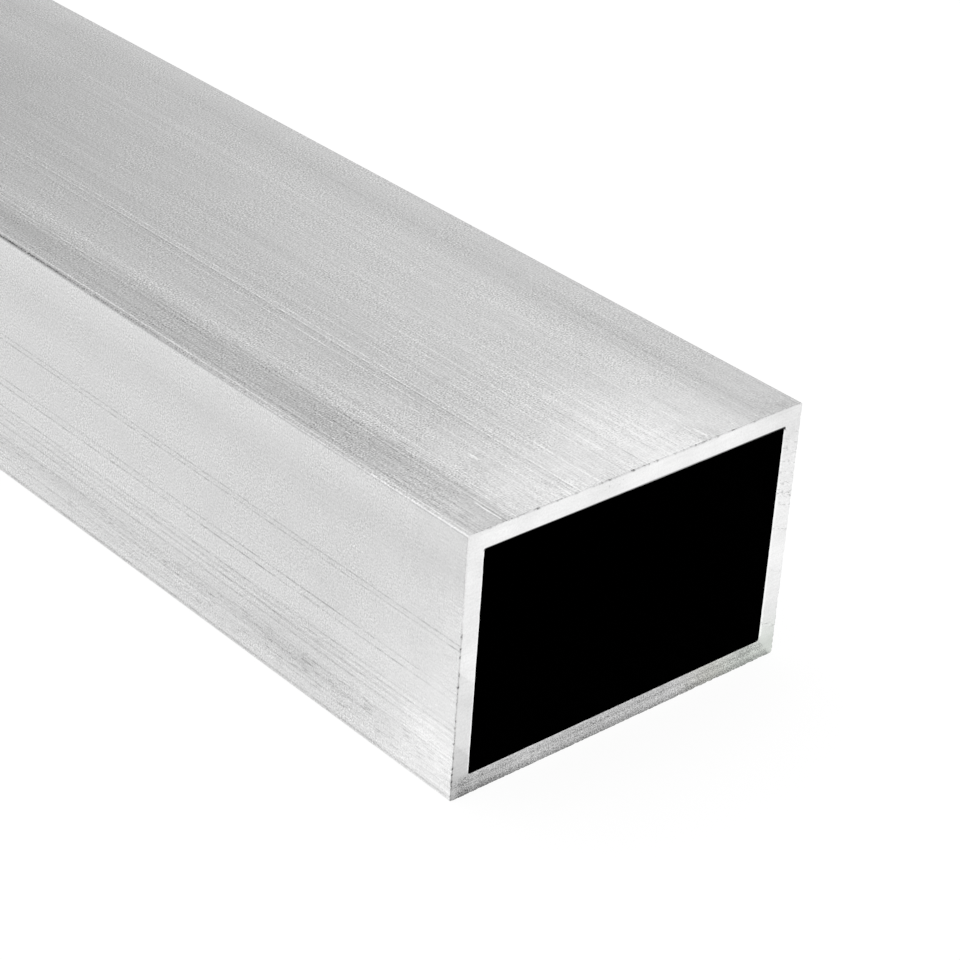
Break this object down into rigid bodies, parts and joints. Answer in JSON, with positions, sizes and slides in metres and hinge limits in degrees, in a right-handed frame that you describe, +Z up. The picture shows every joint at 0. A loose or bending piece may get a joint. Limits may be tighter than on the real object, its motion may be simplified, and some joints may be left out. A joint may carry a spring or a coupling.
{
  "type": "rectangular aluminium tube",
  "caption": "Straight length of extruded rectangular aluminium tube in mill finish, sawn square at both ends, for frames, rails and brackets.",
  "frame": {"origin": "centre of the wide side that the tube lies on, halfway along it", "axes": "+Y along the tube, away from the sawn end that the picture shows; +X across its wide side; +Z up from the floor"},
  "size_m": [0.06, 1, 0.04],
  "materials": {
    "mill_aluminium": "untreated mill finish with fine die lines along the tube and saw-cut ends"
  },
  "bodies": {
    "root": {"tube": "mill_aluminium"}
  },
  "joints": []
}
